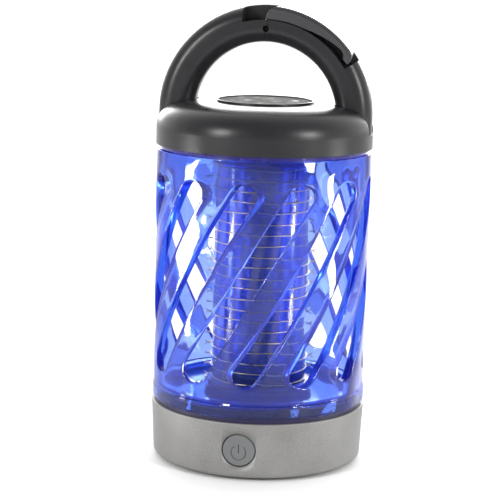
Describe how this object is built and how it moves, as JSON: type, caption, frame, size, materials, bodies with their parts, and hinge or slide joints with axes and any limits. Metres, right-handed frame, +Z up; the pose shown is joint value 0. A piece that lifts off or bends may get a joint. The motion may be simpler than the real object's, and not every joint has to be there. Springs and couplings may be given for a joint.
{
  "type": "electric bug zapper",
  "caption": "Hanging lantern bug zapper with a push-button base, slotted blue cage, wire-ring grid round an ultraviolet lamp, domed cap, ring handle and fold-out hook.",
  "frame": {"origin": "on the standing surface, under the centre of the base", "axes": "+Z up, the power button faces -Y, the ring handle lies in the XZ plane and its hook's tip points to +X"},
  "size_m": [0.1, 0.1, 0.211],
  "materials": {
    "base_paint": "satin silver-grey paint with a fine metallic grain",
    "base_under": "matt",
    "foot_rubber": "matt",
    "screw_steel": "zinc plated",
    "button_plastic": "satin",
    "switch_black": "satin",
    "board_green": "solder mask",
    "ferrite": "matt",
    "coil_tape": "taped winding",
    "capacitor_red": "dipped film",
    "cell_wrap": "shrink wrap",
    "holder_black": "matt",
    "contact_nickel": "nickel plated",
    "dark_ring": "satin",
    "dish_blue": "translucent",
    "frame_blue": "translucent",
    "sleeve_blue": "clear tinted",
    "lamp_glass": "tinted glass",
    "led_board_blue": "blue mask",
    "led_lens": "clear lens",
    "cage_blue": "polished translucent",
    "cap_charcoal": "fine satin texture",
    "disc_grey": "fine texture",
    "handle_charcoal": "fine satin texture",
    "pin_black": "blackened",
    "hook_charcoal": "fine satin texture",
    "grid_wire": "drawn wire, slightly golden",
    "rod_steel": "drawn rod"
  },
  "bodies": {
    "base": {"base_housing": "base_paint", "base_plate": "base_under", "rubber_feet": "foot_rubber", "base_screws": "screw_steel", "tact_switch": "switch_black", "switch_board": "board_green", "control_board": "board_green", "board_screws": "screw_steel", "transformer_core": "ferrite", "transformer_coil": "coil_tape", "hv_capacitors": "capacitor_red", "battery_cell": "cell_wrap", "battery_holder": "holder_black", "battery_contacts": "contact_nickel", "charging_board": "board_green", "charging_socket": "contact_nickel", "insect_dish": "dish_blue", "grid_frame": "frame_blue", "grid_sleeve": "sleeve_blue", "lamp_tube": "lamp_glass", "lamp_holder": "holder_black", "lamp_cap": "holder_black", "led_board": "led_board_blue", "uv_leds": "led_lens", "wire_rings_live": "grid_wire", "wire_rings_return": "grid_wire", "contact_rod_live": "rod_steel", "contact_rod_return": "rod_steel"},
    "button": {"power_button": "button_plastic", "switch_plunger": "switch_black"},
    "twist_ring": {"lock_ring": "dark_ring"},
    "cage": {"cage_top": "cage_blue", "cage_crown": "cage_blue", "cage_ribs": "cage_blue", "cage_collar": "cage_blue", "cap_shell": "cap_charcoal", "cap_plate": "holder_black", "cap_screws": "screw_steel", "cap_disc": "disc_grey", "handle_ring": "handle_charcoal", "handle_screws": "screw_steel", "hook_pin": "pin_black"},
    "hook": {"hanging_hook": "hook_charcoal"}
  },
  "joints": [
    {"name": "button_press", "type": "slide", "parent": "base", "child": "button", "axis": [0, 1, 0], "range_m": [0, 0.001], "stiffness_N_per_m": 800, "springref_m": -0.0015},
    {"name": "cage_twist", "type": "hinge", "parent": "base", "child": "twist_ring", "pos_m": [0, 0, 0.028], "axis": [0, 0, 1], "range_deg": [0, 18]},
    {"name": "cage_lift", "type": "slide", "parent": "twist_ring", "child": "cage", "axis": [0, 0, 1], "range_m": [0, 0.12]},
    {"name": "hook_swing", "type": "hinge", "parent": "cage", "child": "hook", "pos_m": [0.0005, 0, 0.2005], "axis": [0, -1, 0], "range_deg": [0, 90]}
  ]
}
